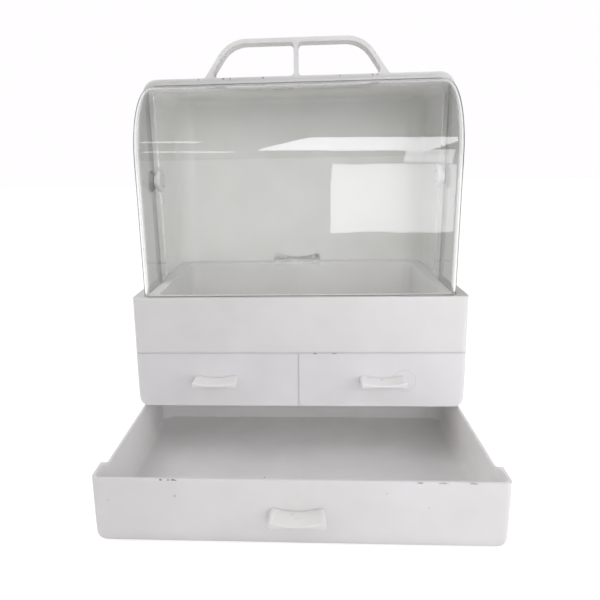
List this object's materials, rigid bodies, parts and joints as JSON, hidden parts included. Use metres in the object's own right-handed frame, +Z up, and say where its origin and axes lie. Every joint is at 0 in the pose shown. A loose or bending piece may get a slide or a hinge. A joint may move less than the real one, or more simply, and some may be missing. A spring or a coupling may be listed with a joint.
{
  "type": "makeup organizer",
  "caption": "Dustproof makeup organizer: drawers below, open bin above, clear domed cover that swings up under a hood with a carry handle.",
  "frame": {"origin": "on the ground, below the middle of the organizer's bounding box with the big drawer open as pictured", "axes": "+X to the right seen from the front, +Y from the drawer fronts to the back wall, +Z up"},
  "size_m": [0.285, 0.3328, 0.363],
  "materials": {
    "white_body": "satin",
    "white_drawers": "satin",
    "white_fittings": "satin",
    "clear_cover": "gloss",
    "clear_pull": "gloss",
    "foot_pads": "matte"
  },
  "bodies": {
    "chest": {"cabinet": "white_body", "top_bin": "white_body", "hood": "white_body", "hinge_pin_left": "white_fittings", "hinge_pin_right": "white_fittings", "foot_pads": "foot_pads"},
    "cover": {"clear_cover": "clear_cover", "cover_pull": "clear_pull"},
    "small_drawer_left_body": {"small_drawer_left": "white_drawers", "small_pull_left": "white_fittings"},
    "small_drawer_right_body": {"small_drawer_right": "white_drawers", "small_pull_right": "white_fittings"},
    "big_drawer_body": {"big_drawer": "white_drawers", "big_pull": "white_fittings"}
  },
  "joints": [
    {"name": "cover_hinge", "type": "hinge", "parent": "chest", "child": "cover", "pos_m": [0, 0.03454, 0.243], "axis": [-1, 0, 0], "range_deg": [0, 120]},
    {"name": "big_drawer_slide", "type": "slide", "parent": "chest", "child": "big_drawer_body", "axis": [0, -1, 0], "range_m": [-0.122, 0.028]},
    {"name": "small_drawer_left_slide", "type": "slide", "parent": "chest", "child": "small_drawer_left_body", "axis": [0, -1, 0], "range_m": [0, 0.15]},
    {"name": "small_drawer_right_slide", "type": "slide", "parent": "chest", "child": "small_drawer_right_body", "axis": [0, -1, 0], "range_m": [0, 0.15]}
  ]
}
